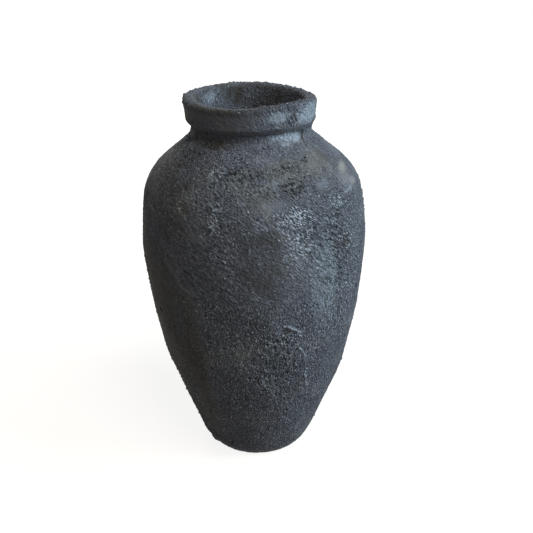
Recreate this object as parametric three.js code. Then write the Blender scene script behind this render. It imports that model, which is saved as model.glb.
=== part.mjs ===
// Terracotta vase: a jar thrown in sections that are luted together, with a thick rim ring round
// the mouth and a gritty mineral coat over the outside, the lip and the throat.
// Millimetres, +Z up. The origin is the middle of the foot, on the floor, and -Y is the front.
import * as THREE from 'three';
import { mergeVertices } from 'three/addons/utils/BufferGeometryUtils.js';

// Radii of the coated vase, from the floor up
const footRadius = 65.4;
const heelRadius = 71.5;
const bellyRadius = 123.1;
const shoulderRadius = 114.7;
const neckRadius = 61.9;
const collarLowRadius = 66.8;
const collarTopRadius = 68.9;
const mouthRadius = 57.2;

// Heights of its stretches, stacked from the floor up
const heelHeight = 10.8;
const flankHeight = 154.9;
const bellyHeight = 124.7;
const upperWallHeight = 50.2;
const shoulderHeight = 42.6;
const neckHeight = 8.3;
const undercutHeight = 4.8;
const collarHeight = 22.6;

// How far from each corner of the outline its round starts
const heelRound = 7;
const flankRound = 90;
const bellyRound = 26;
const shoulderRound = 24;
const neckRound = 8;
const undercutRound = 1.6;
const lipOuterRound = 4.5;
const lipInnerRound = 5;

// Clay walls
const footWall = 11;
const neckWall = 8;
const floorThickness = 12;
const floorRound = 22;
const footEdgeRound = 2.5;
const recessRadius = 44;
const recessDepth = 2;
const recessBevel = 4;

// Sections of the clay, and the grooved joints between them
const footSectionHeight = 150;
const bellySectionHeight = 152;
const rimJointDrop = 1;
const grooveDepth = 4;
const slipGap = 0.4;

// Mineral coat
const coatThickness = 2;
const coatGap = 0.3;
const coatFootGap = 1.2;
const collarCoatReach = 10;
const throatCoatReach = 24;

// The coat of the body is laid on by hand, so its face rises and falls in sets of shallow lumps. Each
// set has its height as a share of the coat, its count round the vase, the height in which it winds
// on by one lump, and where it starts.
const lumpSets = [
  { share: 0.22, count: 4, winding: 230, start: 0.3 },
  { share: 0.2, count: 7, winding: -140, start: 2.1 },
  { share: 0.17, count: 11, winding: 95, start: 4 },
  { share: 0.15, count: 9, winding: -70, start: 1.2 },
];
const lumpFade = 14;

// Departures of a hand-thrown jar from a true circle
const bellyDrift = 1.3;
const mouthDrift = 2.4;
const ovalness = 0.004;
const ovalDirection = Math.PI / 2;
const lipWaves = [
  { height: 1.6, count: 1, start: -2.1 },
  { height: 1.2, count: 2, start: 1.96 },
  { height: 0.75, count: 3, start: 2.36 },
];

// Steps of the mesh: slices round the axis, and rows along each round of the outline
const slices = 44;
const flankRows = 6;
const shoulderRows = 4;
const roundRows = 3;
const slightRows = 2;
const lumpSpacing = 16;

const beltHeight = heelHeight + flankHeight;
const turnHeight = beltHeight + bellyHeight;
const shoulderCorner = turnHeight + upperWallHeight;
const neckCorner = shoulderCorner + shoulderHeight;
const creaseHeight = neckCorner + neckHeight;
const collarLow = creaseHeight + undercutHeight;
const topHeight = collarLow + collarHeight;
const highJoint = footSectionHeight + bellySectionHeight;
const rimJoint = creaseHeight - rimJointDrop;
const clayDepth = coatThickness + coatGap;

// Outlines start and end this far past the ends of the vase, so that each can be cut level.
const overrun = 20;

const along = (from, to, distance) =>
  from.clone().add(to.clone().sub(from).setLength(distance));

// A corner is where two straight stretches of an outline would meet.
function corner(radius, height, round = 0, rows = roundRows) {
  return { at: new THREE.Vector2(radius, height), round, rows };
}

// The outside is on the right of someone who walks along the outline.
function outward(from, to) {
  const way = to.clone().sub(from).normalize();
  return new THREE.Vector2(way.y, -way.x);
}

// Moves an outline inwards. The depth is a number, or a function of the height.
function inset(corners, depth) {
  return corners.map(({ at, round, rows }, i) => {
    const before = corners[i - 1]?.at;
    const after = corners[i + 1]?.at;
    const first = before ? outward(before, at) : outward(at, after);
    const second = after ? outward(at, after) : first;
    const here = typeof depth === 'function' ? depth(at.y) : depth;
    const halfTurn = Math.atan2(first.cross(second), first.dot(second)) / 2;
    const share = -here / (1 + first.dot(second));
    const moved = at.clone().addScaledVector(first, share).addScaledVector(second, share);
    const less = here * Math.tan(halfTurn);
    return { at: moved, round: round && Math.max(round - less, 0.4), rows };
  });
}

// The points of an outline. Two rounds that share a stretch are shortened where it is too short.
function outline(corners) {
  const room = (a, b) => Math.min(1, a.at.distanceTo(b.at) / (a.round + b.round || 1));
  return corners.flatMap((here, i) => {
    const before = corners[i - 1];
    const after = corners[i + 1];
    if (!before || !after || !here.round) return [here.at];
    const length = here.round * Math.min(room(before, here), room(here, after));
    const start = along(here.at, before.at, length);
    const end = along(here.at, after.at, length);
    return new THREE.QuadraticBezierCurve(start, here.at, end).getPoints(here.rows);
  });
}

// Puts points on the long stretches of a line, so that it can rise and fall between its ends.
function divided(points, longest) {
  return points.flatMap((point, i) => {
    const next = points[i + 1];
    const parts = next ? Math.ceil(point.distanceTo(next) / longest) : 1;
    return Array.from({ length: parts }, (_, k) => (k ? point.clone().lerp(next, k / parts) : point));
  });
}

// Keeps the part of a line above a height (side 1) or below it (side -1).
function clip(points, height, side) {
  return points.flatMap((point, i) => {
    const next = points[i + 1];
    const rise = point.y - height;
    const kept = side * rise >= 0 ? [point] : [];
    if (next && rise * (next.y - height) < 0) {
      kept.push(point.clone().lerp(next, -rise / (next.y - point.y)));
    }
    return kept;
  });
}

const above = (points, height) => clip(points, height, 1);
const below = (points, height) => clip(points, height, -1);
const between = (points, low, high) => below(above(points, low), high);
const reversed = (points) => [...points].reverse();
const radiusAt = (points, height) => above(points, height)[0].x;

// The clay gets thinner from the foot to the neck.
const wallAt = (height) => THREE.MathUtils.lerp(footWall, neckWall, height / creaseHeight);
const wallDepth = (height) => clayDepth + wallAt(height);
const throatDepth = (height) => wallDepth(height) + clayDepth;

// The coated body, from below the floor to above the crease of the neck
const foot = new THREE.Vector2(footRadius, 0);
const heel = corner(heelRadius, heelHeight, heelRound, slightRows);
const upperBody = [
  corner(bellyRadius, beltHeight, flankRound, flankRows),
  corner(bellyRadius, turnHeight, bellyRound, slightRows),
  corner(shoulderRadius, shoulderCorner, shoulderRound, shoulderRows),
  corner(neckRadius, neckCorner, neckRound, shoulderRows),
  corner(neckRadius, creaseHeight + overrun),
];
const belowFoot = { ...corner(0, 0), at: along(foot, heel.at, -overrun) };
const belowFlank = { ...corner(0, 0), at: along(heel.at, upperBody[0].at, -overrun) };
const body = [belowFoot, heel, ...upperBody];

// The face of the inside, as if it were coated all the way from the lip down to below the floor
const mouth = corner(mouthRadius, topHeight, lipInnerRound);
const hollow = inset([belowFlank, ...upperBody], throatDepth).slice(0, -1);
const inside = [mouth, ...reversed(hollow)];
const inTheMouth = (reach) => ({ ...corner(0, 0), at: along(mouth.at, inside[1].at, reach) });

// The coated rim, from the neck up to the lip
const collar = [
  corner(neckRadius, creaseHeight - overrun),
  corner(neckRadius, creaseHeight),
  corner(collarLowRadius, collarLow, undercutRound, slightRows),
  corner(collarTopRadius, topHeight, lipOuterRound),
  mouth,
];
const rim = [...collar, ...inside.slice(1)];

const clayCorners = inset(body, clayDepth);
const innerCorners = reversed(inset(inside, clayDepth));
const clayFace = outline(clayCorners);
const innerFace = outline(innerCorners);

// The point of the groove, or of the wedge that stands in it, halfway through a wall
const grooveBetween = (a, b) => new THREE.Vector2((a.x + b.x) / 2, (a.y + b.y) / 2 - grooveDepth);

// The lowest section: the floor, with its shallow recess underneath, and the lower flank
function footProfile() {
  const footEdge = corner(radiusAt(clayFace, 0), 0, footEdgeRound, slightRows);
  const floorEdge = corner(radiusAt(innerFace, floorThickness), floorThickness, floorRound);
  const underside = [
    corner(0, recessDepth),
    corner(recessRadius, recessDepth),
    corner(recessRadius + recessBevel, 0),
    footEdge,
  ];
  const outside = [...underside, ...clayCorners.slice(1)];
  const hollowSide = [corner(0, floorThickness), floorEdge, ...innerCorners.slice(1)];
  const outer = below(outline(outside), footSectionHeight);
  const inner = reversed(below(outline(hollowSide), footSectionHeight));
  return [...outer, grooveBetween(outer.at(-1), inner[0]), ...inner];
}

// A ring of wall that stands in the groove below it and has a groove of its own on top
function ringProfile(low, high) {
  const outer = between(clayFace, low, high);
  const inner = reversed(between(innerFace, low, high));
  const groove = grooveBetween(outer.at(-1), inner[0]);
  const wedge = grooveBetween(inner.at(-1), outer[0]);
  return [...outer, groove, ...inner, wedge, outer[0]];
}

// The thick ring of the mouth, whose lower edge overhangs the neck
function rimProfile() {
  const ring = above(outline(inset(rim, clayDepth)), rimJoint + slipGap);
  return [...ring, grooveBetween(ring.at(-1), ring[0]), ring[0]];
}

// A skin of coat between its face and its back
const skin = (face, back) => [...face, ...reversed(back), face[0]];

// Raises and lowers the face of the body's coat. A lathe turns its profile slice by slice, and the
// points of the face come first in the profile.
function layLumps(geometry, profileLength, faceLength) {
  const { smoothstep } = THREE.MathUtils;
  const place = geometry.attributes.position;
  for (let i = 0; i < place.count; i += 1) {
    if (i % profileLength >= faceLength) continue;
    const x = place.getX(i);
    const y = place.getY(i);
    const z = place.getZ(i);
    const angle = Math.atan2(y, x);
    const fade = smoothstep(z - coatFootGap, 0, lumpFade) * smoothstep(creaseHeight - z, 0, lumpFade);
    const lumps = lumpSets.map(({ share, count, winding, start }) =>
      share * Math.sin(count * angle + (2 * Math.PI * z) / winding + start));
    const rise = fade * coatThickness * lumps.reduce((sum, lump) => sum + lump, 0);
    const grown = 1 + rise / Math.hypot(x, y);
    place.setXYZ(i, x * grown, y * grown, z);
  }
}

// No jar thrown by hand is a true circle: the belly stands a little to one side, the mouth is off
// its collar's middle, the whole is faintly oval, and the lip rises and falls in uneven waves.
function handThrow(geometry) {
  const place = geometry.attributes.position;
  for (let i = 0; i < place.count; i += 1) {
    const x = place.getX(i);
    const y = place.getY(i);
    const z = place.getZ(i);
    const angle = Math.atan2(y, x);
    const rimShare = THREE.MathUtils.smoothstep(z, creaseHeight, topHeight);
    const inward = 1 - Math.min(1, Math.hypot(x, y) / collarTopRadius) ** 4;
    const drift = bellyDrift * Math.sin((Math.PI * z) / topHeight) + mouthDrift * rimShare * inward;
    const oval = 1 + ovalness * Math.cos(2 * (angle - ovalDirection));
    const rise = lipWaves.reduce((sum, { height, count, start }) =>
      sum + height * Math.cos(count * angle + start), 0);
    place.setXYZ(i, x * oval + drift, y * oval, z + rimShare * rise);
  }
}

// Turns a profile round the axis. Triangles that the axis makes flat are left out.
function revolve(profile, lumpyLength) {
  const turned = new THREE.LatheGeometry(profile, slices).rotateX(Math.PI / 2);
  layLumps(turned, profile.length, lumpyLength);
  turned.deleteAttribute('normal');
  turned.deleteAttribute('uv');
  const geometry = mergeVertices(turned, 1e-3);
  const index = [...geometry.index.array];
  const kept = [];
  for (let i = 0; i < index.length; i += 3) {
    const [a, b, c] = index.slice(i, i + 3);
    if (a !== b && b !== c && c !== a) kept.push(a, b, c);
  }
  geometry.setIndex(kept);
  handThrow(geometry);
  geometry.computeVertexNormals();
  return geometry;
}

const terracotta = { color: 0xa65e3f, roughness: 0.92, metalness: 0 };
const blackMineralCoat = { color: 0x34373a, roughness: 0.96, metalness: 0 };

function piece(name, profile, finish, lumpyLength = 0) {
  const material = new THREE.MeshStandardMaterial(finish);
  const mesh = new THREE.Mesh(revolve(profile, lumpyLength), material);
  mesh.name = name;
  return mesh;
}

function clay() {
  const group = new THREE.Group();
  group.add(
    piece('foot_section', footProfile(), terracotta),
    piece('belly_section', ringProfile(footSectionHeight + slipGap, highJoint), terracotta),
    piece('shoulder_section', ringProfile(highJoint + slipGap, rimJoint), terracotta),
    piece('rim_collar', rimProfile(), terracotta),
  );
  return group;
}

function coat() {
  const onBody = (points) => between(points, coatFootGap, creaseHeight);
  const onCollar = (points) => above(points, creaseHeight + coatGap);
  const inThroat = (points) => above(points, creaseHeight - throatCoatReach);
  const facing = (corners, cut) => cut(outline(corners));
  const backing = (corners, cut) => cut(outline(inset(corners, coatThickness)));
  const collarSkin = [...collar, inTheMouth(collarCoatReach)];
  const throatSkin = [inTheMouth(collarCoatReach + coatGap), ...inside.slice(1)];
  const bodyFace = divided(facing(body, onBody), lumpSpacing);
  const bodyProfile = skin(bodyFace, backing(body, onBody));
  const collarProfile = skin(facing(collarSkin, onCollar), backing(collarSkin, onCollar));
  const throatProfile = skin(facing(throatSkin, inThroat), backing(throatSkin, inThroat));
  const group = new THREE.Group();
  group.add(
    piece('body_coat', bodyProfile, blackMineralCoat, bodyFace.length),
    piece('collar_coat', collarProfile, blackMineralCoat),
    piece('throat_coat', throatProfile, blackMineralCoat),
  );
  return group;
}

const vase = new THREE.Group();
vase.add(clay(), coat());

export default vase;
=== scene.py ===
# Terracotta vase under a gritty black mineral coat, dressed for the studio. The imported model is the
# frame. The clay sections and the coat are turned again here on the same outlines, with enough faces
# for a rough relief. Metres, +Z up, and the front of the vase faces -Y.
from math import atan2, cos, pi, radians, sin, tan

import bmesh
import bpy
import numpy as np
from mathutils import Matrix, Vector


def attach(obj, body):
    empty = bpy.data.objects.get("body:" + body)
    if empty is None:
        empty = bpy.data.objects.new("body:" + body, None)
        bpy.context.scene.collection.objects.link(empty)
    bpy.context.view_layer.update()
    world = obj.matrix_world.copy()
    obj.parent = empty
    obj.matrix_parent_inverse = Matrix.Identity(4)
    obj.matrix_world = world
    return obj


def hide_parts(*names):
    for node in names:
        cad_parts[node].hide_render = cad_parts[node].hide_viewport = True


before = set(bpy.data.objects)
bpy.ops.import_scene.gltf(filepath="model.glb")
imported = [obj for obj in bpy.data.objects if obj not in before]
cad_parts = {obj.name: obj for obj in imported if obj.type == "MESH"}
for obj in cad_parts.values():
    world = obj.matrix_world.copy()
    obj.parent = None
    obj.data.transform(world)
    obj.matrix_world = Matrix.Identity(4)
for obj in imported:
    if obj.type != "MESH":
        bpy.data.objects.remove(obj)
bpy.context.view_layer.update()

print("frame loaded:", ", ".join(sorted(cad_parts)))

# Corners of the coated vase in millimetres: radius, height, and how far off its round starts
bodyCorners = [
    (55.56, -17.41, 0),  # the line of the heel, carried on below the floor
    (71.5, 10.8, 7),  # heel
    (123.1, 165.7, 90),  # belly, at its lower end
    (123.1, 290.4, 26),  # belly, at its upper end
    (114.7, 340.6, 24),  # shoulder
    (61.9, 383.2, 8),  # neck
    (61.9, 411.5, 0),
]
collarCorners = [
    (61.9, 371.5, 0),
    (61.9, 391.5, 0),  # crease under the collar
    (66.8, 396.3, 1.6),  # lower edge of the collar
    (68.9, 418.9, 4.5),  # lip, outside
    (57.2, 418.9, 5),  # lip, inside
]
belowFlank = (65.18, -8.17, 0)  # the line of the flank, carried on below the heel

sizes = {
    "coatThickness": 2.0,
    "coatGap": 0.3,
    "coatFootGap": 1.2,  # bare edge between the coat and whatever the vase stands on
    "creaseHeight": 391.5,
    "topHeight": 418.9,
    "lipRadius": 68.9,
    "footWall": 11.0,
    "neckWall": 8.0,
    "collarCoatReach": 10.0,
    "throatCoatReach": 24.0,
    "leastRound": 0.4,  # of a corner that an inset makes tighter
}
clayDepth = sizes["coatThickness"] + sizes["coatGap"]


# The outside is on the right of someone who walks along an outline.
def outwardOf(start, end):
    way = (Vector(end[:2]) - Vector(start[:2])).normalized()
    return Vector((way.y, -way.x))


# Moves an outline inwards by a depth, or by a depth that changes with the height
def inset(corners, depth):
    moved = []
    for i, (radius, height, rounding) in enumerate(corners):
        before = corners[i - 1] if i else None
        after = corners[i + 1] if i + 1 < len(corners) else None
        first = outwardOf(before, corners[i]) if before else outwardOf(corners[i], after)
        second = outwardOf(corners[i], after) if after else first
        here = depth(height) if callable(depth) else depth
        place = Vector((radius, height)) - here * (first + second) / (1 + first.dot(second))
        halfTurn = atan2(first.x * second.y - first.y * second.x, first.dot(second)) / 2
        moved.append((place.x, place.y, rounding and max(rounding - here * tan(halfTurn),
                                                   sizes["leastRound"])))
    return moved


# Points a set gap apart along a rounded outline, each with its way out: radius, height, out, up
def roundedLine(corners, gap):
    dense = []
    for i, (radius, height, rounding) in enumerate(corners):
        here = Vector((radius, height))
        if not rounding or i in (0, len(corners) - 1):
            dense.append(here)
            continue
        before = Vector(corners[i - 1][:2])
        after = Vector(corners[i + 1][:2])
        shares = [1.0]
        for other, place in ((corners[i - 1], before), (corners[i + 1], after)):
            shares.append((place - here).length / (rounding + other[2]))
        reach = rounding * min(shares)
        start = here + (before - here).normalized() * reach
        end = here + (after - here).normalized() * reach
        for t in np.linspace(0, 1, 33):
            dense.append((1 - t) ** 2 * start + 2 * t * (1 - t) * here + t ** 2 * end)
    dense = np.array(dense)
    length = np.append(0, np.cumsum(np.hypot(*np.diff(dense, axis=0).T)))
    places = np.linspace(0, length[-1], round(length[-1] / gap) + 1)
    line = np.column_stack([np.interp(places, length, dense[:, i]) for i in (0, 1)])
    way = np.gradient(line, axis=0)
    way /= np.hypot(way[:, 0], way[:, 1])[:, None]
    return np.column_stack((line, way[:, 1], -way[:, 0]))


# Keeps the part of a line above a height (side 1) or below it (side -1)
def clip(line, height, side):
    kept = []
    for i, point in enumerate(line):
        rise = point[1] - height
        if side * rise >= 0:
            kept.append(point)
        if i + 1 < len(line) and rise * (line[i + 1][1] - height) < 0:
            kept.append(point + (line[i + 1] - point) * -rise / (line[i + 1][1] - point[1]))
    return np.array(kept)


def between(line, low, high):
    return clip(clip(line, low, 1), high, -1)


def pointAlong(start, end, distance):
    place = Vector(start[:2]) + (Vector(end[:2]) - Vector(start[:2])).normalized() * distance
    return (place.x, place.y, 0)


slices = 20  # of a full turn


def addObject(name, data):
    added = bpy.data.objects.new(name, data)
    bpy.context.scene.collection.objects.link(added)
    return added


# Turns a bent line round the axis. Each row says how much of the relief reaches it (its skin).
def turnProfile(name, profile, steps, strips, closed=True):
    bm = bmesh.new()
    layers = {key: bm.verts.layers.float.new(key) for key in ("out", "up", "skin", "row")}
    verts = []
    for row, (radius, height, out, up, skin) in enumerate(profile):
        vert = bm.verts.new((radius / 1000, 0, height / 1000))
        for key, value in (("out", out), ("up", up), ("skin", skin), ("row", row)):
            vert[layers[key]] = value
        verts.append(vert)
    edges = [bm.edges.new(pair) for pair in zip(verts, verts[1:])]
    if closed:
        edges.append(bm.edges.new((verts[-1], verts[0])))
    # One slice is swept first and then repeated round the axis, which is far quicker
    axis = {"cent": (0, 0, 0), "axis": (0, 0, 1), "dvec": (0, 0, 0)}
    bmesh.ops.spin(bm, geom=verts + edges, angle=2 * pi / slices, steps=steps // slices, **axis)
    bmesh.ops.spin(bm, geom=bm.verts[:] + bm.edges[:] + bm.faces[:], use_duplicate=True,
                   angle=2 * pi * (1 - 1 / slices), steps=slices - 1, **axis)
    bmesh.ops.remove_doubles(bm, verts=bm.verts[:], dist=5e-6)
    bmesh.ops.recalc_face_normals(bm, faces=bm.faces[:])
    for face in bm.faces:
        face.smooth = True
    mesh = bpy.data.meshes.new(name)
    bm.to_mesh(mesh)
    bm.free()
    mesh.set_sharp_from_angle(angle=radians(40))
    unroll(mesh, len(profile), steps, strips)
    return addObject(name, mesh)


def readValues(mesh, key):
    values = np.empty(len(mesh.vertices), np.float32)
    mesh.attributes[key].data.foreach_get("value", values)
    return values


def storeValues(mesh, key, values):
    layer = mesh.attributes.get(key) or mesh.attributes.new(key, "FLOAT", "POINT")
    layer.data.foreach_set("value", values.astype(np.float32))


def readPlaces(mesh):
    places = np.empty(len(mesh.vertices) * 3, np.float32)
    mesh.vertices.foreach_get("co", places)
    return places.reshape(-1, 3)


# Lays the ring flat for the bake: cut into strips round the axis, which lie above one another
def unroll(mesh, rows, steps, strips):
    corner = np.empty(len(mesh.loops), np.int32)
    mesh.loops.foreach_get("vertex_index", corner)
    first = np.empty(len(mesh.polygons), np.int32)
    mesh.polygons.foreach_get("loop_start", first)
    face = np.repeat(np.arange(len(first)), np.diff(np.append(first, len(corner))))
    x, y = readPlaces(mesh)[corner, :2].T
    middle = np.arctan2(np.add.reduceat(y, first), np.add.reduceat(x, first))[face]
    turn = np.where(np.hypot(x, y) > 1e-6, np.arctan2(y, x) - middle, 0)
    turn = (turn + pi) % (2 * pi) - pi
    column = (middle / (2 * pi) % 1) * steps
    strip = np.floor(column * strips / steps)
    across = (column + turn / (2 * pi) * steps) * strips / steps - strip
    row = readValues(mesh, "row")[corner]
    lowest = np.minimum.reduceat(row, first)[face]
    highest = np.maximum.reduceat(row, first)[face]
    row = np.where((highest - lowest > 1.5) & (row < rows / 2), row + rows, row)
    up = (strip + 0.01 + 0.98 * row / rows) / strips
    layer = mesh.uv_layers.new(name="OFBake")
    layer.data.foreach_set("uv", np.column_stack((0.01 + 0.98 * across, up)).ravel().astype(np.float32))


# The coat of the body is laid on by hand, so its face rises and falls in sets of shallow lumps. Each
# set has its height in mm, its count round the vase, the height in which it winds on by one lump,
# and where it starts.
lumpSets = [
    dict(height=0.44, count=4, winding=230, start=0.3),
    dict(height=0.40, count=7, winding=-140, start=2.1),
    dict(height=0.34, count=11, winding=95, start=4.0),
    dict(height=0.30, count=9, winding=-70, start=1.2),
]
lumpFade = 14  # mm over which they die away at the foot and at the crease


def smoothShare(values):
    values = np.clip(values, 0, 1)
    return values * values * (3 - 2 * values)


def layLumps(piece):
    x, y, z = (readPlaces(piece.data) * 1000).T
    angle = np.arctan2(y, x)
    rise = np.zeros(len(x))
    for lumps in lumpSets:
        turn = lumps["count"] * angle + 2 * pi * z / lumps["winding"] + lumps["start"]
        rise += lumps["height"] * np.sin(turn)
    rise *= smoothShare((z - sizes["coatFootGap"]) / lumpFade)
    rise *= smoothShare((sizes["creaseHeight"] - z) / lumpFade)
    grown = 1 + rise * readValues(piece.data, "skin") / np.hypot(x, y)
    moved = np.column_stack((x * grown, y * grown, z)) / 1000
    piece.data.vertices.foreach_set("co", moved.ravel().astype(np.float32))


# No jar thrown by hand is a true circle: the belly stands a little to one side, the mouth is off its
# collar's middle, the whole is faintly oval, and the lip rises and falls in uneven waves.
handThrown = {
    "bellyDrift": 1.3,
    "mouthDrift": 2.4,
    "ovalness": 0.004,
    "lipWaves": [  # mm high, how many round the rim, start
        (1.6, 1, -2.1),
        (1.2, 2, 1.96),
        (0.75, 3, 2.36),
    ],
}


def handThrow(piece):
    x, y, z = (readPlaces(piece.data) * 1000).T
    angle = np.arctan2(y, x)
    share = smoothShare((z - sizes["creaseHeight"]) / (sizes["topHeight"] - sizes["creaseHeight"]))
    inward = 1 - np.minimum(1, np.hypot(x, y) / sizes["lipRadius"]) ** 4
    drift = handThrown["bellyDrift"] * np.sin(pi * z / sizes["topHeight"])
    drift += handThrown["mouthDrift"] * share * inward
    oval = 1 - handThrown["ovalness"] * np.cos(2 * angle)
    rise = sum(high * np.cos(count * angle + start) for high, count, start in handThrown["lipWaves"])
    moved = np.column_stack((x * oval + drift, y * oval, z + share * rise)) / 1000
    piece.data.vertices.foreach_set("co", moved.ravel().astype(np.float32))
    piece.data.update()


# Adds a node with its settings, and sets or links its inputs
def addNode(tree, kind, inputs=None, **settings):
    node = tree.nodes.new(kind)
    for name, value in settings.items():
        setattr(node, name, value)
    for name, value in (inputs or {}).items():
        if isinstance(value, bpy.types.Node):
            value = value.outputs[0]
        if isinstance(value, bpy.types.NodeSocket):
            tree.links.new(value, node.inputs[name])
        else:
            node.inputs[name].default_value = value
    return node


def newMaterial(name):
    material = bpy.data.materials.new(name)
    material.use_nodes = True
    material.node_tree.nodes.clear()
    return material


def linearColour(code):
    parts = [int(code[i:i + 2], 16) / 255 for i in (1, 3, 5)]
    return tuple(c / 12.92 if c <= 0.04045 else ((c + 0.055) / 1.055) ** 2.4 for c in parts) + (1.0,)


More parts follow.
